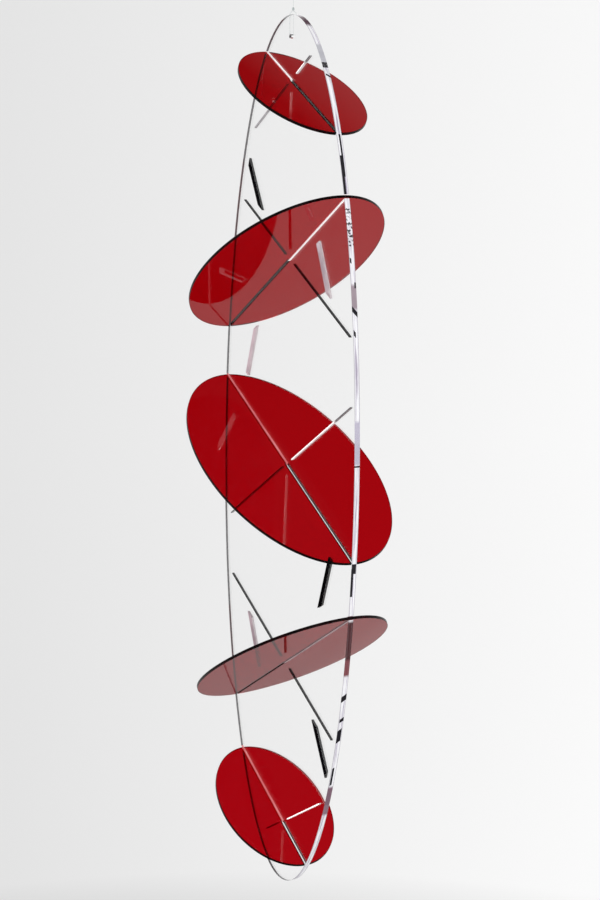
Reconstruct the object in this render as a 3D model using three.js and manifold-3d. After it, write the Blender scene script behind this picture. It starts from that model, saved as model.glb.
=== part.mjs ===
// Hanging mobile sculpture: an upright clear acrylic blade, an ellipse cut from flat sheet,
// with five red transparent acrylic ellipses slotted across it at alternating tilts. It hangs
// from a loop at the end of a fine clear thread.
// Units are millimetres and +Z is up. The blade lies in the XZ plane, and the origin is the
// inside top of the hanging loop, where a hook carries it.
import * as THREE from 'three';
import { mergeVertices } from 'three/addons/utils/BufferGeometryUtils.js';
import Module from 'manifold-3d';

const wasm = await Module();
wasm.setup();

// The blade and its through cuts
const bladeHeight = 900;
const bladeWidth = 266;
const bladeThickness = 6;
const bladeSegments = 180; // round its outline
const threadHoleDepth = 21; // below the blade's top
const threadHoleRadius = 2.1;
const threadHoleSegments = 24;
const cutCentre = { x: 2.5, z: 0.9 }; // the slits and windows are set out about this point
const slitWidth = 0.8;
const slitGap = 9.5; // from the cuts' upright centre line to each half of a slit, across
const windowWidth = 5.6;

// The discs, in pairs either side of the middle one. Level is where a disc's middle plane
// meets the blade's axis, halfDepth its half-width square to the blade, and slitMargin what
// is left of the blade between its mirrored slit and the rim, along the slit.
const discThickness = 3;
const discSegments = 160; // round each outline
const discTilt = THREE.MathUtils.degToRad(31);
const discs = [
  { name: 'disc_1_top', level: 386, halfDepth: 61.5, rise: -1, slitMargin: 18 },
  { name: 'disc_2_upper', level: 210, halfDepth: 92, rise: 1, slitMargin: 12 },
  { name: 'disc_3_middle', level: 0, halfDepth: 96.5, rise: -1, slitMargin: 12 },
  { name: 'disc_4_lower', level: -210, halfDepth: 92, rise: 1, slitMargin: 12 },
  { name: 'disc_5_bottom', level: -386, halfDepth: 61.5, rise: -1, slitMargin: 18 },
];

// The windows: each one's middle, its length, its lean from upright and the slopes of its
// two ends, in degrees. Each has a partner turned half a turn about the cuts' centre.
const windows = [
  { x: -73.8, z: 283.3, length: 53, lean: -27.5, topSlope: 72, bottomSlope: -31 },
  { x: 66, z: 202.2, length: 55, lean: -22.5, topSlope: 31, bottomSlope: -31 },
  { x: -78, z: 109.7, length: 54, lean: 19, topSlope: 31, bottomSlope: -31 },
];

// The thread, its two knots and the loop that it ends in
const threadDiameter = 0.9;
const threadSides = 8;
const rimKnotHeight = 5.5; // above the blade's top
const rimKnotSize = 3;
const loopKnotHeight = 27;
const loopKnotSize = 2.8;
const loopLength = 15;
const knotSides = 12;

const gap = 0.3; // kept between pieces that touch
const slack = 1; // how far a cutting block runs past what it cuts

const materials = {
  blade: { color: 0xe4e9ec, roughness: 0.05, metalness: 0, transparent: true, opacity: 0.3 },
  disc: { color: 0xa8192e, roughness: 0.06, metalness: 0, transparent: true, opacity: 0.7 },
  thread: { color: 0xdfe3e4, roughness: 0.25, metalness: 0 },
};

const bladeTop = -(loopKnotHeight + loopKnotSize / 2 + gap + loopLength - threadDiameter);
const bladeMiddle = bladeTop - bladeHeight / 2;

function toSolid(geometry) {
  const bare = geometry.clone();
  bare.deleteAttribute('normal');
  bare.deleteAttribute('uv');
  const merged = mergeVertices(bare);
  const mesh = new wasm.Mesh({
    numProp: 3,
    vertProperties: new Float32Array(merged.attributes.position.array),
    triVerts: new Uint32Array(merged.index.array),
  });
  return new wasm.Manifold(mesh);
}

function toGeometry(solid) {
  const mesh = solid.getMesh();
  const geometry = new THREE.BufferGeometry();
  geometry.setAttribute('position', new THREE.BufferAttribute(mesh.vertProperties, 3));
  geometry.setIndex(new THREE.BufferAttribute(mesh.triVerts, 1));
  geometry.computeVertexNormals();
  return geometry;
}

function piece(name, geometry, look) {
  const mesh = new THREE.Mesh(geometry, new THREE.MeshStandardMaterial(materials[look]));
  mesh.name = name;
  return mesh;
}

// A closed outline from a list of corners
function outline(corners, Kind = THREE.Shape) {
  const path = new Kind();
  path.setFromPoints(corners.map(([x, z]) => new THREE.Vector2(x, z)));
  path.closePath();
  return path;
}

// Where the line z = level + slope x meets the blade's elliptical outline, left and right
function chordEnds(level, slope) {
  const a = bladeWidth / 2;
  const c = bladeHeight / 2;
  const square = 1 / (a * a) + (slope * slope) / (c * c);
  const linear = (level * slope) / (c * c);
  const constant = (level * level) / (c * c) - 1;
  const root = Math.sqrt(linear * linear - square * constant);
  return [(-linear - root) / square, (-linear + root) / square];
}

// A disc's chord across the blade: its middle and half-length
function chord(disc) {
  const slope = disc.rise * Math.tan(discTilt);
  const [left, right] = chordEnds(disc.level, slope);
  const x = (left + right) / 2;
  return { x, z: disc.level + slope * x, half: (right - left) / 2 / Math.cos(discTilt) };
}

// The two halves of a slit, at a disc's level and its mirrored tilt
function slitHalves(disc) {
  const slope = -disc.rise * Math.tan(discTilt);
  const [left, right] = chordEnds(disc.level, slope);
  const margin = disc.slitMargin * Math.cos(discTilt);
  const half = slitWidth / 2 / Math.cos(discTilt);
  const at = (x, side) => [
    cutCentre.x + x,
    cutCentre.z + disc.level + slope * x + side * half,
  ];
  const spans = [[left + margin, -slitGap], [slitGap, right - margin]];
  return spans.map(([from, to]) => [at(from, -1), at(to, -1), at(to, 1), at(from, 1)]);
}

// A window's corners, its ends cut at their own slopes, turned half round for its partner
function windowCorners(cut, turn) {
  const lean = THREE.MathUtils.degToRad(cut.lean);
  const along = [Math.sin(lean), Math.cos(lean)];
  const across = [Math.cos(lean), -Math.sin(lean)];
  const corner = (end, side, slopeDegrees) => {
    const direction = THREE.MathUtils.degToRad(slopeDegrees);
    const skew = Math.tan(direction + lean);
    const u = (side * windowWidth) / 2;
    const v = (end * cut.length) / 2 + u * skew;
    return [
      cutCentre.x + turn * (cut.x + u * across[0] + v * along[0]),
      cutCentre.z + turn * (cut.z + u * across[1] + v * along[1]),
    ];
  };
  return [
    corner(-1, -1, cut.bottomSlope),
    corner(-1, 1, cut.bottomSlope),
    corner(1, 1, cut.topSlope),
    corner(1, -1, cut.topSlope),
  ];
}

// A shape cut from flat sheet, about its own middle plane. A whole ellipse is drawn with
// twice as many steps as curveSegments says.
function sheet(shape, thickness, steps) {
  const settings = { depth: thickness, bevelEnabled: false, curveSegments: steps / 2 };
  const geometry = new THREE.ExtrudeGeometry(shape, settings);
  geometry.translate(0, 0, -thickness / 2);
  return geometry;
}

// How far a slot runs from the blade's upright axis, along a disc's chord, to clear the rim
function slotLength({ x, half }) {
  return half + Math.abs(x) / Math.cos(discTilt) + slack;
}

// The slot that a disc slides into: from the rim at its upper end to the blade's upright axis
function bladeSlot(disc) {
  const length = slotLength(chord(disc));
  const width = discThickness + 2 * gap;
  const block = new THREE.BoxGeometry(length, bladeThickness + 2 * slack, width);
  block.translate(disc.rise * (length / 2 - gap / 2), 0, 0);
  block.rotateY(-disc.rise * discTilt);
  block.translate(0, 0, disc.level);
  return toSolid(block);
}

function threadHole() {
  const z = bladeHeight / 2 - threadHoleDepth;
  const corners = [];
  for (let i = 0; i < threadHoleSegments; i += 1) {
    const angle = (2 * Math.PI * i) / threadHoleSegments;
    const x = threadHoleRadius * Math.cos(angle);
    corners.push([x, z + threadHoleRadius * Math.sin(angle)]);
  }
  return outline(corners, THREE.Path);
}

function blade() {
  const shape = new THREE.Shape();
  shape.absellipse(0, 0, bladeWidth / 2, bladeHeight / 2, 0, 2 * Math.PI, false);
  for (const disc of discs) {
    slitHalves(disc).forEach((corners) => shape.holes.push(outline(corners, THREE.Path)));
  }
  for (const cut of windows) {
    for (const turn of [1, -1]) {
      shape.holes.push(outline(windowCorners(cut, turn), THREE.Path));
    }
  }
  shape.holes.push(threadHole());
  const flat = sheet(shape, bladeThickness, bladeSegments);
  flat.rotateX(Math.PI / 2);
  let solid = toSolid(flat);
  for (const disc of discs) {
    solid = solid.subtract(bladeSlot(disc));
  }
  const mesh = piece('clear_blade', toGeometry(solid), 'blade');
  mesh.position.z = bladeMiddle;
  return mesh;
}

// One red ellipse, flat before it is tilted, with the slot that the blade fills: from the
// disc's lower end to the blade's upright axis
function redDisc(disc) {
  const { x, z, half } = chord(disc);
  const shape = new THREE.Shape();
  shape.absellipse(0, 0, half, disc.halfDepth, 0, 2 * Math.PI, false);
  const flat = sheet(shape, discThickness, discSegments);
  const length = slotLength({ x, half });
  const axis = -x / Math.cos(discTilt);
  const slotSize = [length, bladeThickness + 2 * gap, discThickness + 2 * slack];
  const slot = new THREE.BoxGeometry(...slotSize);
  slot.translate(axis - disc.rise * (length / 2 - gap / 2), 0, 0);
  const solid = toSolid(flat).subtract(toSolid(slot));
  const mesh = piece(disc.name, toGeometry(solid), 'disc');
  mesh.rotation.y = -disc.rise * discTilt;
  mesh.position.set(x, 0, bladeMiddle + z);
  return mesh;
}

// A length of thread along smooth points [y, z], z counted from the blade's top
function thread(name, points, steps) {
  const at = points.map(([y, z]) => new THREE.Vector3(0, y, bladeTop + z));
  const path = new THREE.CatmullRomCurve3(at, false, 'centripetal');
  const section = new THREE.Shape();
  section.absarc(0, 0, threadDiameter / 2, 0, 2 * Math.PI, false);
  const settings = {
    steps,
    extrudePath: path,
    bevelEnabled: false,
    curveSegments: threadSides / 2,
  };
  return piece(name, new THREE.ExtrudeGeometry(section, settings), 'thread');
}

// The same points on the other face, in the opposite order
function mirrored(points) {
  return points.map(([y, z]) => [-y, z]).reverse();
}

// A pulled-tight knot, turned as a small bead
function knot(name, height, size) {
  const arc = [];
  const arcSteps = 8;
  for (let i = 0; i <= arcSteps; i += 1) {
    const angle = -Math.PI / 2 + (Math.PI * i) / arcSteps;
    const radius = i % arcSteps === 0 ? 0 : (size / 2) * 0.85 * Math.cos(angle);
    arc.push(new THREE.Vector2(radius, (size / 2) * Math.sin(angle)));
  }
  const bead = new THREE.LatheGeometry(arc, knotSides);
  bead.rotateX(Math.PI / 2);
  const mesh = piece(name, bead, 'thread');
  mesh.position.z = bladeTop + height;
  return mesh;
}

// Down the near face from the knot, into the hole, and up the far face
const roundRim = [
  [-0.6, 3.7], [-1.6, 2.9], [-2.8, 1.8], [-3.55, 0.5], [-3.76, -1], [-3.8, -3],
  [-3.8, -6.5], [-3.8, -10], [-3.8, -13.5], [-3.8, -17], [-3.8, -19],
  [-3.65, -19.77], [-3.21, -20.41], [-2.57, -20.85], [-1.8, -21],
];
const upToLoop = [[0, 7.3], [0, 13.3], [0, 19.3], [0, 25.3]];
const halfLoop = [
  [-0.6, 28.7], [-1.6, 31], [-2.75, 33.8], [-3.4, 36.8], [-3.55, 39.7], [-3.07, 41.47],
  [-1.77, 42.77],
];

const mobile = new THREE.Group();
mobile.add(blade());
for (const disc of discs) {
  mobile.add(redDisc(disc));
}
mobile.add(thread('thread_round_rim', [...roundRim, [0, -21], ...mirrored(roundRim)], 40));
mobile.add(knot('rim_knot', rimKnotHeight, rimKnotSize));
mobile.add(thread('thread_up', upToLoop, 9));
mobile.add(knot('loop_knot', loopKnotHeight, loopKnotSize));
mobile.add(thread('thread_loop', [...halfLoop, [0, 43.25], ...mirrored(halfLoop)], 24));

export default mobile;
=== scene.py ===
import math

import bmesh
import bpy
import numpy as np
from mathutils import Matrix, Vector
from mathutils.geometry import tessellate_polygon


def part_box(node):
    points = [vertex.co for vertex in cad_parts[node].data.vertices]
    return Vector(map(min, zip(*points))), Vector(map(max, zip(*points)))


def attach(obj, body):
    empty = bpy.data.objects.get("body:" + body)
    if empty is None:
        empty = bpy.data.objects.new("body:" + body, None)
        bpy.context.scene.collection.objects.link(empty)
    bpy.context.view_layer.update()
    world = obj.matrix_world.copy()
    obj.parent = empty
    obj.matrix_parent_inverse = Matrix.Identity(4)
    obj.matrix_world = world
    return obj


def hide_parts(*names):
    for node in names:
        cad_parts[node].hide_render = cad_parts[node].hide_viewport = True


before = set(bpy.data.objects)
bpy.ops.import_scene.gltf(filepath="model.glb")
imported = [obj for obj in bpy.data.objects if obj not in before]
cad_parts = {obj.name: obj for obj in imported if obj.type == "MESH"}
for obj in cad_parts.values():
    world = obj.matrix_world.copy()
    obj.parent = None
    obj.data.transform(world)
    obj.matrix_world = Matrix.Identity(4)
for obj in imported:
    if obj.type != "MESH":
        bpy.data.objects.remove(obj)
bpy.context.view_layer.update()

mm = 0.001

bladeLow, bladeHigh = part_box("clear_blade")
bladeMiddle = (bladeLow + bladeHigh) / 2
bladeTop = bladeHigh.z
halfWidth = (bladeHigh.x - bladeLow.x) / 2
halfHeight = (bladeHigh.z - bladeLow.z) / 2
bladeThickness = bladeHigh.y - bladeLow.y


def linked(name, data):
    made = bpy.data.objects.new(name, data)
    bpy.context.scene.collection.objects.link(made)
    return made


def smoothMesh(name, points, faces):
    mesh = bpy.data.meshes.new(name)
    mesh.from_pydata(points.tolist(), [], faces)
    mesh.polygons.foreach_set("use_smooth", np.ones(len(faces), bool))
    return mesh


def quadBand(low, high, count):
    # the quads between two closed rings of count points, whose first points are low and high
    here = np.arange(count)
    after = (here + 1) % count
    return np.c_[low + here, low + after, high + after, high + here].tolist()


cameraView = {
    "fromBlade": (1.4429, -0.8348, 0.2767),  # from the blade's middle to the lens
    "aimFromBlade": (0.0243, 0.0, 0.0180),
    "roll": math.radians(0.75),
    "lens": 65.57,
    "sensor": 36,
    "nearest": 0.05,
}


def makeCamera():
    data = bpy.data.cameras.new("camera")
    data.lens = cameraView["lens"]
    data.sensor_width = cameraView["sensor"]
    data.clip_start = cameraView["nearest"]
    camera = linked("camera", data)
    camera.location = bladeMiddle + Vector(cameraView["fromBlade"])
    aim = bladeMiddle + Vector(cameraView["aimFromBlade"])
    turn = (aim - camera.location).to_track_quat("-Z", "Y").to_matrix()
    rollX, rollY = math.cos(cameraView["roll"]), math.sin(cameraView["roll"])
    right = turn.col[0] * rollX + turn.col[1] * rollY
    up = turn.col[1] * rollX - turn.col[0] * rollY
    turn.col[0], turn.col[1] = right, up
    camera.rotation_euler = turn.to_euler()
    bpy.context.scene.camera = camera


makeCamera()
print("camera placed")


# one shader socket, so that sums and products can be written as expressions
class Sock:
    def __init__(self, build, socket):
        self.build, self.socket = build, socket

    def maths(self, operation, other, swap=False):
        first, second = (other, self) if swap else (self, other)
        return self.build.node("ShaderNodeMath", {"operation": operation}, {0: first, 1: second})

    def __add__(self, other):
        return self.maths("ADD", other)

    __radd__ = __add__

    def __sub__(self, other):
        return self.maths("SUBTRACT", other)

    def __rsub__(self, other):
        return self.maths("SUBTRACT", other, swap=True)

    def __mul__(self, other):
        return self.maths("MULTIPLY", other)

    __rmul__ = __mul__

    def __truediv__(self, other):
        return self.maths("DIVIDE", other)

    def __rtruediv__(self, other):
        return self.maths("DIVIDE", other, swap=True)

    def __pow__(self, other):
        return self.maths("POWER", other)

    def __rpow__(self, other):
        return self.maths("POWER", other, swap=True)

    def __gt__(self, other):
        return self.maths("GREATER_THAN", other)

    def __lt__(self, other):
        return self.maths("LESS_THAN", other)


# a material's node tree
class Build:
    def __init__(self, name):
        self.material = bpy.data.materials.new(name)
        self.material.use_nodes = True
        self.tree = self.material.node_tree
        self.tree.nodes.clear()

    def node(self, kind, settings=None, inputs=None, out=0):
        made = self.tree.nodes.new(kind)
        for key, value in (settings or {}).items():
            setattr(made, key, value)
        for key, value in (inputs or {}).items():
            if isinstance(value, Sock):
                self.tree.links.new(value.socket, made.inputs[key])
            else:
                made.inputs[key].default_value = value
        return Sock(self, made.outputs[out])

    def size(self, value):
        return self.node("ShaderNodeMath", {"operation": "ABSOLUTE"}, {0: value})

    def larger(self, first, second):
        return self.node("ShaderNodeMath", {"operation": "MAXIMUM"}, {0: first, 1: second})

    def objectPlace(self):
        return self.node("ShaderNodeTexCoord", out="Object")

    def axis(self, vector, name):
        return self.node("ShaderNodeSeparateXYZ", inputs={0: vector}, out=name)

    def noise(self, vector, scale, detail=2.0):
        inputs = {"Vector": vector, "Scale": scale, "Detail": detail}
        return self.node("ShaderNodeTexNoise", inputs=inputs, out="Fac")

    def blendColours(self, factor, first, second):
        made = self.tree.nodes.new("ShaderNodeMix")
        made.data_type = "RGBA"
        self.tree.links.new(factor.socket, made.inputs["Factor"])
        for socket, value in ((made.inputs[6], first), (made.inputs[7], second)):
            if isinstance(value, Sock):
                self.tree.links.new(value.socket, socket)
            else:
                socket.default_value = (*value, 1)
        return Sock(self, made.outputs[2])

    def span(self, value, low, high, newLow, newHigh):
        inputs = {0: value, 1: low, 2: high, 3: newLow, 4: newHigh}
        return self.node("ShaderNodeMapRange", {"clamp": True}, inputs)

    def finish(self, surface, volume=None):
        out = self.tree.nodes.new("ShaderNodeOutputMaterial")
        self.tree.links.new(surface.socket, out.inputs["Surface"])
        if volume is not None:
            self.tree.links.new(volume.socket, out.inputs["Volume"])
        return self.material


def clearShaders(build, look):
    # roughness = span of a slow noise, for faint wiping marks; the body absorbs each colour by its
    # own share
    wiped = build.noise(build.objectPlace(), look["smearScale"])
    inputs = {
        "Base Color": (1, 1, 1, 1),
        "Roughness": build.span(wiped, *look["smearRange"], *look["rough"]),
        "IOR": look["ior"],
        "Transmission Weight": 1.0,
    }
    surface = build.node("ShaderNodeBsdfPrincipled", inputs=inputs, out="BSDF")
    volumeInputs = {"Color": (*look["tint"], 1), "Density": look["density"]}
    return surface, build.node("ShaderNodeVolumeAbsorption", inputs=volumeInputs)


def acrylicMaterial(name, look):
    build = Build(name)
    return build.finish(*clearShaders(build, look))


clearLook = {
    "ior": 1.49,
    "tint": (0.86, 0.9, 0.92),
    "density": 1.2,
    "smearScale": 9.0,
    "smearRange": (0.5, 0.75),
    "rough": (0.0, 0.004),
}
redLook = {
    "ior": 1.49,
    "tint": (0.881, 0.0, 0.2),
    "density": 1900.0,
    "smearScale": 9.0,
    "smearRange": (0.5, 0.75),
    "rough": (0.0, 0.004),
}
threadLook = {
    "ior": 1.53,
    "tint": (0.8, 0.84, 0.84),
    "density": 900.0,
    "smearScale": 400.0,
    "smearRange": (0.5, 0.75),
    "rough": (0.05, 0.15),
}


mottleDetail = 4.0


def paintedOverClear(build, body, colour, look, cover):
    # a clear body whose wall wears a painted skin over the given share of it: painted light and
    # shade that the polished wall shows; the glow is painted light that the sheet carries to its edges
    clear, volume = clearShaders(build, body)
    inputs = {
        "Base Color": colour,
        "Roughness": look["roughness"],
        "IOR": body["ior"],
        "Specular IOR Level": look["specular"],
        "Emission Color": colour,
        "Emission Strength": look["glow"],
    }
    paintedSkin = build.node("ShaderNodeBsdfPrincipled", inputs=inputs, out="BSDF")
    return build.finish(build.node("ShaderNodeMixShader", inputs={0: cover, 1: clear, 2: paintedSkin}), volume)


def mottled(build, look):
    # deep tone to light tone as a fine noise rises through the look's range
    noise = build.noise(build.objectPlace(), look["mottleScale"], mottleDetail)
    return build.blendColours(build.span(noise, *look["mottleRange"], 0, 1), look["deep"], look["light"])


def paintedCutWallMaterial(name, look, body):
    # a polished cut wall: painted light and shade, mottled, over a clear body
    build = Build(name)
    return paintedOverClear(build, body, mottled(build, look), look, look["cover"])


def slitPaintedLightAndShadeWallMaterial(name, look, greyFrom):
    # a slit's wall: painted white light, mottled, near the blade's upright axis, painted grey shade
    # past the given distance from it
    build = Build(name)
    side = build.axis(build.objectPlace(), "X") - bladeMiddle.x
    far = build.span(side, greyFrom, greyFrom + look["fade"], 0, 1)
    colour = build.blendColours(far, mottled(build, look), look["far"])
    return paintedOverClear(build, clearLook, colour, look, look["cover"])


def discPaintedShadeEdgeMaterial(name, look):
    # a red sheet's edge with painted shade: almost black from outside, for the light that comes along
    # the sheet, with a mottle of deep red; from inside the sheet it stays clear
    build = Build(name)
    inside = build.node("ShaderNodeNewGeometry", out="Backfacing")
    return paintedOverClear(build, redLook, mottled(build, look), look, (1 - inside) * look["cover"])


# painted shade on the red discs' edges
discPaintedShadeEdgeLook = {
    "specular": 0.04,
    "glow": 0.0,
    "deep": (0.002, 0.0008, 0.001),
    "light": (0.02, 0.001, 0.003),
    "mottleScale": 90.0,
    "mottleRange": (0.45, 0.7),
    "roughness": 0.3,
    "cover": 0.97,
}
# painted shade: near-black walls, where the polished cut shows only dark surroundings through the sheet
darkPaintedShadeWallLook = {
    "specular": 0.0,
    "glow": 0.0,
    "deep": (0.003, 0.003, 0.004),
    "light": (0.012, 0.011, 0.014),
    "mottleScale": 160.0,
    "mottleRange": (0.35, 0.65),
    "roughness": 0.4,
    "cover": 0.98,
}
# painted light: the pale mauve that a polished cut wall shows of light carried along the sheet
mauvePaintedLightWallLook = {
    "specular": 0.3,
    "glow": 0.3,
    "deep": (0.42, 0.33, 0.37),
    "light": (0.8, 0.66, 0.7),
    "mottleScale": 18.0,
    "mottleRange": (0.35, 0.65),
    "roughness": 0.3,
    "cover": 0.8,
}
# painted light: the bright white that a polished slot wall shows of light carried along the sheet
whitePaintedLightWallLook = {
    "specular": 0.3,
    "glow": 0.8,
    "deep": (0.9, 0.86, 0.86),
    "light": (1.0, 0.98, 0.98),
    "mottleScale": 60.0,
    "mottleRange": (0.35, 0.65),
    "roughness": 0.3,
    "cover": 0.95,
}
# painted light: the pink that a slot wall shows of the red discs' light
pinkPaintedLightWallLook = {
    "specular": 0.3,
    "glow": 0.5,
    "deep": (0.75, 0.12, 0.14),
    "light": (1.0, 0.36, 0.36),
    "mottleScale": 22.0,
    "mottleRange": (0.35, 0.65),
    "roughness": 0.3,
    "cover": 0.9,
}
# painted light and shade on the slit walls: white near the axis, grey farther out
slitPaintedLightAndShadeWallLook = {
    "specular": 0.3,
    "glow": 0.45,
    "deep": (0.9, 0.84, 0.84),
    "light": (1.0, 0.98, 0.98),
    "far": (0.2, 0.2, 0.21),
    "fade": 4 * mm,
    "greyFrom": (26, 92),  # mm from the axis, on the top slit and on the longer ones
    "mottleScale": 60.0,
    "mottleRange": (0.35, 0.65),
    "roughness": 0.3,
    "cover": 0.95,
}
# painted shade: the grey that a slit wall shows away from the discs
greyPaintedShadeWallLook = {
    "specular": 0.2,
    "glow": 0.2,
    "deep": (0.52, 0.5, 0.52),
    "light": (0.68, 0.66, 0.68),
    "mottleScale": 60.0,
    "mottleRange": (0.35, 0.65),
    "roughness": 0.3,
    "cover": 0.92,
}
# The rim's painted refractions. Its marks, painted dark: height from the blade's middle, half-height,
# place across the rim from -3 (near face) to 3, half-width across and rise in height per millimetre
# across, all in millimetres. Its stretches of painted tone: lowest and highest height, and their tone.
rimPaintedRefractionLook = {
    "specular": 0.2,
    "glow": 0.25,
    "cover": 0.92,
    "roughness": 0.12,
    "white": (0.97, 0.97, 1.0),
    "mauve": (0.42, 0.37, 0.48),
    "dark": (0.006, 0.005, 0.009),
    "line": (0.045, 0.035, 0.045),
    "edge": (0.16, 0.13, 0.18),
    "edgeShare": 0.5,
    "edgeRange": (2.0, 2.4),  # millimetres from the rim's middle
    "middleRange": (1.0, 1.8),
    "middleShare": 0.3,
    "streakScale": (60, 500, 22),
    "streakDetail": 3.0,
    "streakRange": (0.42, 0.6),
    "stretchFade": 3,
    "stretchShare": (1.0, 0.95),
    "stretches": [
        (436, 449, (0.1, 0.05, 0.07)), (394, 420, (0.5, 0.5, 0.54)), (166, 192, (0.34, 0.27, 0.31)),
        (17, 62, (0.5, 0.47, 0.58)), (-181, -136, (0.05, 0.0, 0.001)),
        (-196, -176, (0.2, 0.05, 0.06)), (-352, -316, (0.2, 0.11, 0.15)),
    ],
    "speckle": (226, 264),
    "speckleScale": 420.0,
    "speckleRange": (0.52, 0.56),
    "marks": [
        (398, 2.6, 0, 3, 0), (388, 0.9, 0.6, 2.4, -0.5), (312, 20, 0.3, 1.0, 0),
        (292, 20, -1.2, 1.4, 0), (212, 2.4, -1.6, 0.9, -0.8), (190, 2.8, 1.8, 0.9, 0),
        (165, 2.6, 0, 3, -1.0), (143, 2.6, -1.0, 1.2, -1.2), (17, 0.8, 0, 3, 0),
        (-84, 5, -0.2, 2.4, 0), (-98, 14, -1.7, 1.3, 0), (-218, 3.2, 0, 3, 0.6),
        (-242, 2.0, 0.4, 2.4, 0.5), (-259, 7, -0.4, 2.4, 0.6), (-305, 10, -0.8, 1.2, 0.4),
    ],
}


def rimPaintedRefractionMaterial(name, look):
    # the blade's polished edge as it looks from outside, in painted refraction: white, with mauve
    # streaks along it and the dark ends of the slots and openings behind it; from inside the sheet, a
    # painted dark line
    build = Build(name)
    place = build.objectPlace()
    across = build.axis(place, "Y") / mm
    height = (build.axis(place, "Z") - bladeMiddle.z) / mm
    streakPlace = build.node("ShaderNodeMapping", inputs={"Vector": place, "Scale": look["streakScale"]})
    streak = build.span(build.noise(streakPlace, 1.0, look["streakDetail"]), *look["streakRange"], 0, 1)
    middle = build.span(build.size(across), *look["middleRange"], 1, look["middleShare"])
    colour = build.blendColours(streak * middle, look["white"], look["mauve"])
    edge = build.span(build.size(across), *look["edgeRange"], 0, look["edgeShare"])
    colour = build.blendColours(edge, colour, look["edge"])
    for low, high, tone in look["stretches"]:
        start = build.span(height, low, low + look["stretchFade"], 0, 1)
        stop = build.span(height, high - look["stretchFade"], high, 1, 0)
        share = start * stop * build.span(streak, 0, 1, *look["stretchShare"])
        colour = build.blendColours(share, colour, tone)
    # painted refraction: a fine dark speckle over one stretch of the rim
    fine = build.noise(place, look["speckleScale"])
    low, high = look["speckle"]
    dark = (height > low) * (height < high) * build.span(fine, *look["speckleRange"], 0, 1)
    for level, half, side, width, rise in look["marks"]:
        mark = build.size(height - across * rise - level) < half
        dark = build.larger(dark, mark * (build.size(across - side) < width))
    colour = build.blendColours(dark, colour, look["dark"])
    inside = build.node("ShaderNodeNewGeometry", out="Backfacing")
    colour = build.blendColours(inside, colour, look["line"])
    return paintedOverClear(build, clearLook, colour, look, look["cover"])


clearAcrylic = acrylicMaterial("clearAcrylic", clearLook)
greyPaintedShadeWall = paintedCutWallMaterial("greyPaintedShadeWall", greyPaintedShadeWallLook, clearLook)
slitPaintedLightAndShadeWalls = [slitPaintedLightAndShadeWallMaterial(f"slitPaintedLightAndShadeWall_{x}", slitPaintedLightAndShadeWallLook, x * mm) for x in slitPaintedLightAndShadeWallLook["greyFrom"]]
redAcrylic = acrylicMaterial("redAcrylic", redLook)
nylon = acrylicMaterial("nylon", threadLook)
rimPaintedRefraction = rimPaintedRefractionMaterial("rimPaintedRefraction", rimPaintedRefractionLook)
darkPaintedShadeWall = paintedCutWallMaterial("darkPaintedShadeWall", darkPaintedShadeWallLook, clearLook)
mauvePaintedLightWall = paintedCutWallMaterial("mauvePaintedLightWall", mauvePaintedLightWallLook, clearLook)
whitePaintedLightWall = paintedCutWallMaterial("whitePaintedLightWall", whitePaintedLightWallLook, clearLook)
pinkPaintedLightWall = paintedCutWallMaterial("pinkPaintedLightWall", pinkPaintedLightWallLook, clearLook)
discPaintedShadeEdge = discPaintedShadeEdgeMaterial("discPaintedShadeEdge", discPaintedShadeEdgeLook)
# painted shade: the dark that a disc's slot wall shows from within the red sheet
discSlotPaintedShadeWall = paintedCutWallMaterial("discSlotPaintedShadeWall", darkPaintedShadeWallLook, redLook)
# the blade's materials: its clear sheet, and its rim and walls with painted light and shade
bladeClearAndPaintedLightAndShade = [clearAcrylic, rimPaintedRefraction, darkPaintedShadeWall, mauvePaintedLightWall, whitePaintedLightWall, pinkPaintedLightWall, greyPaintedShadeWall, *slitPaintedLightAndShadeWalls]
discClearAndPaintedShade = [redAcrylic, discPaintedShadeEdge, discSlotPaintedShadeWall]
print("materials made")


def addPiece(piece, materials, slotName, *nodes):
    # a mesh keeps its faces' material numbers while its slots fill; a curve has none
    numbers = np.zeros(len(getattr(piece.data, "polygons", [])), np.int32)
    if len(numbers):
        piece.data.polygons.foreach_get("material_index", numbers)
    for material in materials:
        piece.data.materials.append(material)
    if len(numbers):
        piece.data.polygons.foreach_set("material_index", numbers)
    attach(piece, "root")
    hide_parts(*nodes)
    return piece


threadLine = {
    "diameter": 0.9 * mm,
    "roundRim": [
        (-0.6, 4.6), (-0.6, 3.7), (-1.6, 2.9), (-2.8, 1.8), (-3.55, 0.5), (-3.76, -1), (-3.8, -3),
        (-3.8, -6.5), (-3.8, -10), (-3.8, -13.5), (-3.8, -17), (-3.8, -19),
        (-3.65, -19.77), (-3.21, -20.41), (-2.57, -20.85), (-1.8, -21), (0, -21),
    ],
    "rimEnd": (0.45, 5.2),
    "loopEnd": (0.55, 27.7),
    "stepsBetween": 6,
    "roundness": 3,
    "up": [(0.1, 6.4), (0, 7.3), (0, 13.3), (0, 19.3), (0, 25.3), (-0.2, 26.4), (-0.52, 27.6)],
    "halfLoop": [
        (-0.6, 28.7), (-1.6, 31), (-2.75, 33.8), (-3.4, 36.8), (-3.55, 39.7), (-3.07, 41.47),
        (-1.77, 42.77), (0, 43.25),
    ],
}


def mirrored(points):
    return [(-y, z) for y, z in reversed(points[:-1])]


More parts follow.
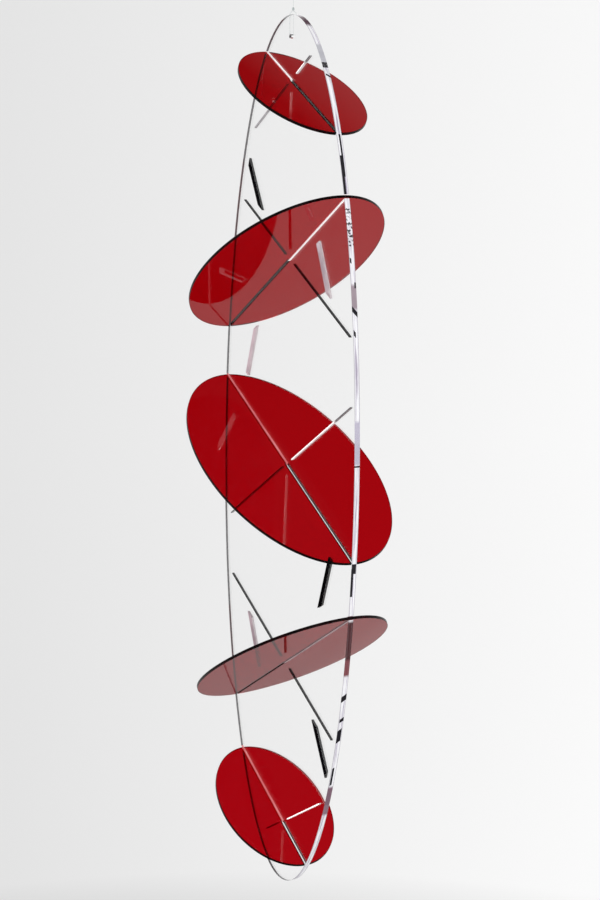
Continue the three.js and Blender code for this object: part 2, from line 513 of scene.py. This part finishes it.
def smoothLine(points, steps):
    # a Catmull-Rom line through the points, its knots spaced by the root of each gap
    points = np.array(points, float)
    points = np.vstack([2 * points[0] - points[1], points, 2 * points[-1] - points[-2]])
    knots = np.r_[0, np.cumsum(np.linalg.norm(np.diff(points, axis=0), axis=1) ** 0.5)]
    line = []
    for i in range(1, len(points) - 2):
        t = np.linspace(knots[i], knots[i + 1], steps, endpoint=False)[:, None]
        t0, t1, t2, t3 = knots[i - 1:i + 3]
        p0, p1, p2, p3 = points[i - 1:i + 3]
        a1 = (t1 - t) / (t1 - t0) * p0 + (t - t0) / (t1 - t0) * p1
        a2 = (t2 - t) / (t2 - t1) * p1 + (t - t1) / (t2 - t1) * p2
        a3 = (t3 - t) / (t3 - t2) * p2 + (t - t2) / (t3 - t2) * p3
        b1 = (t2 - t) / (t2 - t0) * a1 + (t - t0) / (t2 - t0) * a2
        b2 = (t3 - t) / (t3 - t1) * a2 + (t - t1) / (t3 - t1) * a3
        line.append((t2 - t) / (t2 - t1) * b1 + (t - t1) / (t2 - t1) * b2)
    return np.vstack(line + [points[-2:-1]])


knotShape = {
    "around": 48,
    "rows": 32,
    "fill": 0.92,  # of the node's half-width
    "roundness": 0.7,
    "ridge": 0.1,
    "ridgeFade": 0.5,
    "ridges": 2,
    "twist": 7,
}


def makeKnot(name, node):
    # an ellipsoid whose radius, cosine of the rise to a power, swells in twisted ridges, like turns
    # of thread pulled tight
    low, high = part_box(node)
    around, rows = knotShape["around"], knotShape["rows"]
    turn = math.tau * np.arange(around) / around
    rise = math.pi * (np.arange(1, rows) / rows - 0.5)
    theta, phi = np.meshgrid(turn, rise)
    wave = np.cos(knotShape["ridges"] * theta + knotShape["twist"] * phi)
    ridge = 1 + knotShape["ridge"] * wave * np.cos(phi) ** knotShape["ridgeFade"]
    radius = (high.x - low.x) / 2 * knotShape["fill"] * np.cos(phi) ** knotShape["roundness"] * ridge
    middle = (low + high) / 2
    half = (high.z - low.z) / 2
    grid = np.stack([radius * np.cos(theta), radius * np.sin(theta), half * np.sin(phi)], -1)
    points = np.vstack([grid.reshape(-1, 3), [(0, 0, -half), (0, 0, half)]]) + np.array(middle)
    faces = []
    for row in range(rows - 2):
        faces += quadBand(row * around, (row + 1) * around, around)
    here = np.arange(around)
    after = (here + 1) % around
    last = (rows - 2) * around
    faces += np.c_[after, here, np.full(around, len(points) - 2)].tolist()
    faces += np.c_[last + here, last + after, np.full(around, len(points) - 1)].tolist()
    return addPiece(linked(name, smoothMesh(name, points, faces)), [nylon], "clear_thread", node)


def makeThread():
    points = threadLine["roundRim"] + mirrored(threadLine["roundRim"])[:-1]
    points += [threadLine["rimEnd"]] + threadLine["up"]
    points += threadLine["halfLoop"] + mirrored(threadLine["halfLoop"]) + [threadLine["loopEnd"]]
    line = smoothLine(points, threadLine["stepsBetween"]) * mm
    path = np.c_[np.zeros(len(line)), line[:, 0], bladeTop + line[:, 1]]
    curve = bpy.data.curves.new("thread", "CURVE")
    curve.dimensions = "3D"
    curve.bevel_depth = threadLine["diameter"] / 2
    curve.bevel_resolution = threadLine["roundness"]
    curve.use_fill_caps = True
    spline = curve.splines.new("POLY")
    spline.points.add(len(path) - 1)
    spline.points.foreach_set("co", np.c_[path, np.ones(len(path))].ravel())
    spline.use_smooth = True
    thread = linked("thread", curve)
    addPiece(thread, [nylon], "clear_thread", "thread_round_rim", "thread_up", "thread_loop")
    knots = [makeKnot("rimKnot", "rim_knot"), makeKnot("loopKnot", "loop_knot")]


makeThread()

discTilt = math.radians(31)
gap = 0.3 * mm
bladeSheet = {
    "holeDepth": 21 * mm,  # below the blade's top
    "holeRadius": 2.1 * mm,
    "cutCentre": np.array([2.5, 0.9]) * mm,
    "slitWidth": 0.8 * mm,
    "slitGap": 9.5 * mm,
    "windowWidth": 5.6 * mm,
    "rimSteps": 900,
    "holeSteps": 48,
    "chamfer": 0.15 * mm,
}
discSheets = {
    "disc_1_top": {"level": 386 * mm, "rise": -1, "slitMargin": 18 * mm},
    "disc_2_upper": {"level": 210 * mm, "rise": 1, "slitMargin": 12 * mm},
    "disc_3_middle": {"level": 0, "rise": -1, "slitMargin": 12 * mm},
    "disc_4_lower": {"level": -210 * mm, "rise": 1, "slitMargin": 12 * mm},
    "disc_5_bottom": {"level": -386 * mm, "rise": -1, "slitMargin": 18 * mm},
}
# painted light on the walls of the blade's slot that each disc fills, and the walls of the two slits
# beside it, some clear and some with painted light and shade
slotPaintedLight = [whitePaintedLightWall, whitePaintedLightWall, pinkPaintedLightWall, mauvePaintedLightWall, pinkPaintedLightWall]
slitClearAndPaintedLightAndShade = [
    (greyPaintedShadeWall, slitPaintedLightAndShadeWalls[0]), (darkPaintedShadeWall, darkPaintedShadeWall), (clearAcrylic, slitPaintedLightAndShadeWalls[1]),
    (darkPaintedShadeWall, darkPaintedShadeWall), (clearAcrylic, slitPaintedLightAndShadeWalls[1]),
]
for disc, slot, slits in zip(discSheets.values(), slotPaintedLight, slitClearAndPaintedLightAndShade):
    disc["slot"], disc["slits"] = slot, slits
redSheet = {"thickness": 3 * mm, "chamfer": 0.2 * mm, "rimSteps": 400}
leastSteps = 8  # on any stretch of rim between two notches
sharpFrom = math.radians(20)
# middle, length, lean from upright, slopes of the top and bottom ends in degrees, and the painted
# light and shade of the walls, for the window and for its partner half a turn away
windows = [
    {"middle": (-73.8, 283.3), "length": 53, "lean": -27.5, "slopes": (72, -31),
     "wallMaterials": (darkPaintedShadeWall, darkPaintedShadeWall)},
    {"middle": (66, 202.2), "length": 55, "lean": -22.5, "slopes": (31, -31),
     "wallMaterials": (mauvePaintedLightWall, mauvePaintedLightWall)},
    {"middle": (-78, 109.7), "length": 54, "lean": 19, "slopes": (31, -31),
     "wallMaterials": (mauvePaintedLightWall, darkPaintedShadeWall)},
]


def chordEnds(level, slope):
    # where z = level + slope x meets the blade's ellipse
    square = 1 / halfWidth**2 + slope**2 / halfHeight**2
    linear = level * slope / halfHeight**2
    root = math.sqrt(linear**2 - square * (level**2 / halfHeight**2 - 1))
    return (-linear - root) / square, (-linear + root) / square


def chord(disc):
    # the chord's middle on the blade and its half-length
    slope = disc["rise"] * math.tan(discTilt)
    left, right = chordEnds(disc["level"], slope)
    x = (left + right) / 2
    return np.array([x, disc["level"] + slope * x]), (right - left) / 2 / math.cos(discTilt)


def notchedEllipse(a, c, notches, steps):
    # an ellipse of half-axes a and c, anticlockwise, with square notches cut in from its rim:
    # each notch is its inner end's middle, the way out and its half-width. The second result is
    # the notch that each edge belongs to, or -1 on the rim.
    cuts = []
    for number, (inner, way, half) in enumerate(notches):
        across = np.array([-way[1], way[0]])
        corners = []
        for side in (-1, 1):
            start = inner + side * half * across
            # reach along the way to the ellipse: p reach^2 + 2 q reach + r = 0
            p = (way / (a, c)) @ (way / (a, c))
            q = (way / (a, c)) @ (start / (a, c))
            r = (start / (a, c)) @ (start / (a, c)) - 1
            reach = (-q + math.sqrt(q * q - p * r)) / p
            corners.append((start + reach * way, start))
        (mouthA, innerA), (mouthB, innerB) = corners
        angleA = math.atan2(mouthA[1] / c, mouthA[0] / a) % math.tau
        cuts.append((angleA, math.atan2(mouthB[1] / c, mouthB[0] / a) % math.tau,
                     [mouthA, innerA, innerB, mouthB], number))
    cuts.sort(key=lambda cut: cut[0])
    points = []
    owners = []
    for i, (_, angleOut, corners, number) in enumerate(cuts):
        angleNext = cuts[(i + 1) % len(cuts)][0]
        spread = (angleNext - angleOut) % math.tau
        count = max(leastSteps, int(steps * spread / math.tau))
        angles = angleOut + spread * np.arange(1, count) / count
        points.append(np.array(corners))
        points.append(np.c_[a * np.cos(angles), c * np.sin(angles)])
        owners += [number] * 3 + [-1] * count
    return np.vstack(points), np.array(owners)


def slitHalves(disc):
    # the two halves of the slit at a disc's level, at its mirrored tilt
    slope = -disc["rise"] * math.tan(discTilt)
    left, right = chordEnds(disc["level"], slope)
    margin = disc["slitMargin"] * math.cos(discTilt)
    lift = bladeSheet["slitWidth"] / 2 / math.cos(discTilt)
    halves = []
    for start, end in ((left + margin, -bladeSheet["slitGap"]), (bladeSheet["slitGap"], right - margin)):
        x = np.array([start, start, end, end])
        side = np.array([-1, 1, 1, -1])
        corners = np.c_[x, disc["level"] + slope * x + side * lift]
        halves.append(corners + bladeSheet["cutCentre"])
    return halves


def windowCorners(cut, turn):
    # a slanted window's corners, clockwise
    lean = math.radians(cut["lean"])
    along = np.array([math.sin(lean), math.cos(lean)])
    across = np.array([math.cos(lean), -math.sin(lean)])
    corners = []
    for end, side in ((-1, -1), (1, -1), (1, 1), (-1, 1)):
        slope = math.radians(cut["slopes"][0 if end > 0 else 1])
        u = side * bladeSheet["windowWidth"] / 2
        v = end * cut["length"] * mm / 2 + u * math.tan(slope + lean)
        corners.append(turn * (np.array(cut["middle"]) * mm + u * across + v * along))
    return np.array(corners) + bladeSheet["cutCentre"]


def intoSheet(loop, distance):
    # every corner moved into the material, which lies on the left of each edge
    edge = np.roll(loop, -1, axis=0) - loop
    normal = np.c_[-edge[:, 1], edge[:, 0]] / np.linalg.norm(edge, axis=1)[:, None]
    before = np.roll(normal, 1, axis=0)
    total = normal + before
    return loop + distance * 2 * total / (total**2).sum(1)[:, None]


def sheetPiece(name, loops, wallMaterials, thickness, chamfer, place):
    # A flat sheet with edges square to it. Each loop carries four rings: face, chamfer, chamfer
    # and face; place turns flat coordinates (u, v, w) into the row frame, w across the sheet.
    # Each loop's wall gets a material number for every edge, many with painted light and shade.
    rings, faces, numbers, starts = [], [], [], []
    first = 0
    inner = [intoSheet(loop, chamfer) for loop in loops]
    half = thickness / 2
    for loop, inset, finish in zip(loops, inner, wallMaterials):
        n = len(loop)
        numbers += finish.tolist() * 3
        for flat, w in ((inset, -half), (loop, chamfer - half), (loop, half - chamfer), (inset, half)):
            rings.append(np.c_[flat, np.full(n, w)])
        for level in range(3):
            faces += quadBand(first + level * n, first + (level + 1) * n, n)
        starts.append((first, first + 3 * n, n))
        first += 4 * n
    flatIndex = np.concatenate([np.arange(s, s + n) for s, _, n in starts])
    backIndex = np.concatenate([np.arange(e, e + n) for _, e, n in starts])
    outline = [[Vector((x, z, 0)) for x, z in inset] for inset in inner]
    triangles = np.array(tessellate_polygon(outline))
    faces += flatIndex[triangles].tolist() + backIndex[triangles[:, ::-1]].tolist()
    mesh = smoothMesh(name, place(np.vstack(rings)), faces)
    numbers += [0] * (len(faces) - len(numbers))
    mesh.polygons.foreach_set("material_index", np.array(numbers, np.int32))
    work = bmesh.new()
    work.from_mesh(mesh)
    bmesh.ops.recalc_face_normals(work, faces=work.faces)
    work.to_mesh(mesh)
    work.free()
    mesh.set_sharp_from_angle(angle=sharpFrom)
    return linked(name, mesh)


def makeBlade():
    notches, slotNumbers = [], []
    for disc in discSheets.values():
        way = disc["rise"] * np.array([math.cos(discTilt), disc["rise"] * math.sin(discTilt)])
        inner = np.array([0, disc["level"]]) - way * gap / 2
        notches.append((inner, way, redSheet["thickness"] / 2 + gap))
        slotNumbers.append(bladeClearAndPaintedLightAndShade.index(disc["slot"]))
    rim, owners = notchedEllipse(halfWidth, halfHeight, notches, bladeSheet["rimSteps"])
    loops = [rim]
    # the rim wears painted refraction, the slot walls painted light
    wallMaterials = [np.where(owners < 0, bladeClearAndPaintedLightAndShade.index(rimPaintedRefraction), np.array(slotNumbers)[owners])]
    for disc in discSheets.values():
        loops += slitHalves(disc)
        for finish in disc["slits"]:
            wallMaterials.append(np.full(4, bladeClearAndPaintedLightAndShade.index(finish)))
    for cut in windows:
        for turn, finish in zip((1, -1), cut["wallMaterials"]):
            loops.append(windowCorners(cut, turn))
            wallMaterials.append(np.full(4, bladeClearAndPaintedLightAndShade.index(finish)))
    angles = -math.tau * np.arange(bladeSheet["holeSteps"]) / bladeSheet["holeSteps"]
    ring = bladeSheet["holeRadius"] * np.c_[np.cos(angles), np.sin(angles)]
    loops.append(ring + (0, halfHeight - bladeSheet["holeDepth"]))
    wallMaterials.append(np.zeros(bladeSheet["holeSteps"], int))

    def place(flat):
        return np.c_[flat[:, 0], flat[:, 2], flat[:, 1]] + np.array(bladeMiddle)

    piece = sheetPiece("blade", loops, wallMaterials, bladeThickness, bladeSheet["chamfer"], place)
    return addPiece(piece, bladeClearAndPaintedLightAndShade, "clear_acrylic", "clear_blade")


def makeDisc(node):
    disc = discSheets[node]
    low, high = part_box(node)
    middle, halfLength = chord(disc)
    halfDepth = (high.y - low.y) / 2
    way = np.array([-disc["rise"], 0.0])
    axis = np.array([-middle[0] / math.cos(discTilt), 0])
    notch = (axis - way * gap / 2, way, bladeThickness / 2 + gap)
    loop, owners = notchedEllipse(halfLength, halfDepth, [notch], redSheet["rimSteps"])
    along = np.array([math.cos(discTilt), 0, disc["rise"] * math.sin(discTilt)])
    across = np.array([0.0, 1.0, 0.0])
    normal = np.cross(along, across)
    centre = np.array(bladeMiddle) + (middle[0], 0, middle[1])

    def place(flat):
        return centre + flat[:, :1] * along + flat[:, 1:2] * across + flat[:, 2:] * normal

    # the disc's rim and slot walls wear painted shade
    wallMaterials = [np.where(owners < 0, discClearAndPaintedShade.index(discPaintedShadeEdge), discClearAndPaintedShade.index(discSlotPaintedShadeWall))]
    name = node.replace("disc", "redDisc")
    piece = sheetPiece(name, [loop], wallMaterials, redSheet["thickness"], redSheet["chamfer"], place)
    return addPiece(piece, discClearAndPaintedShade, "red_acrylic", node)


makeBlade()
for node in discSheets:
    makeDisc(node)
print("blade and discs made")

# a pale bowl with a flat floor and a rounded foot, under soft lights
stage = {
    "floorDrop": 1.2,  # below the blade's foot
    "radius": 3.4,
    "footRadius": 1.2,
    "wallTop": 4.5,
    "paint": 0.25,  # how much lamp light the bowl gives back
    "side": (0.505, 0.863),  # the way the wall brightens
    "sideRange": (-0.3, 0.3),
    "wallGlow": (0.6, 0.79),
    "floorGlow": 0.42,  # as a share of the wall's, like the ceiling's
    "ceilingGlow": 0.02,
    "floorFade": (-0.83, -0.6),  # steepness seen from the blade's middle
    "ceilingFade": (0.8, 1.225),
    "soften": 0.01,  # square metres, keeps the slope finite on the axis
    "centre": 1 * mm,  # radius of the floor's first ring
    "turns": 96,
    "footSteps": 24,
    "lamps": [  # place, size and power
        ((1.9, -2.6, 1.9), 2.2, 26.0),
        ((2.9, 0.9, 1.9), 1.8, 14.0),
    ],
    "world": (0.03, 0.03, 0.033, 1),
}


def bowlMaterial():
    # glow = wall glow, rising along the side direction, times a share that falls towards the floor
    # and towards the ceiling with height over radius; paint falls by the same share
    build = Build("paleBowl")
    place = build.objectPlace()
    x, y = build.axis(place, "X"), build.axis(place, "Y")
    radius = (x * x + y * y + stage["soften"]) ** 0.5
    steep = (build.axis(place, "Z") - bladeMiddle.z) / radius
    side = (x * stage["side"][0] + y * stage["side"][1]) / radius
    share = build.span(steep, *stage["floorFade"], stage["floorGlow"], 1)
    share = share * build.span(steep, *stage["ceilingFade"], 1, stage["ceilingGlow"])
    glow = build.span(side, *stage["sideRange"], *stage["wallGlow"]) * share
    inputs = {
        "Base Color": share * stage["paint"],
        "Roughness": 1.0,
        "Specular IOR Level": 0.0,
        "Emission Color": glow,
        "Emission Strength": 1.0,
    }
    return build.finish(build.node("ShaderNodeBsdfPrincipled", inputs=inputs, out="BSDF"))


def makeStage():
    # the bowl's profile: a flat floor, a quarter circle, then an upright wall, turned about Z
    floorZ = bladeLow.z - stage["floorDrop"]
    foot = stage["footRadius"]
    turns = stage["turns"]
    bend = np.linspace(0, math.pi / 2, stage["footSteps"])
    radius = np.r_[stage["centre"], stage["radius"] - foot + foot * np.sin(bend), stage["radius"]]
    height = np.r_[0, foot * (1 - np.cos(bend)), stage["wallTop"] - floorZ]
    turn = math.tau * np.arange(turns) / turns
    grid = np.stack([radius[:, None] * np.cos(turn), radius[:, None] * np.sin(turn),
                     np.repeat(height[:, None], turns, 1)], -1)
    points = grid.reshape(-1, 3) + (0, 0, floorZ)
    faces = []
    for row in range(len(radius) - 1):
        faces += quadBand(row * turns, (row + 1) * turns, turns)
    bowl = linked("bowl", smoothMesh("bowl", points, faces))
    bowl.data.materials.append(bowlMaterial())
    for i, (spot, size, power) in enumerate(stage["lamps"]):
        light = bpy.data.lights.new(f"softbox{i}", "AREA")
        light.size = size
        light.energy = power
        lamp = linked(f"softbox{i}", light)
        lamp.location = spot
        lamp.rotation_euler = (bladeMiddle - Vector(spot)).to_track_quat("-Z", "Y").to_euler()
    world = bpy.data.worlds.new("ceiling")
    world.use_nodes = True
    world.node_tree.nodes["Background"].inputs["Color"].default_value = stage["world"]
    bpy.context.scene.world = world
    bpy.context.scene.view_settings.view_transform = "Standard"


makeStage()
print("stage made")
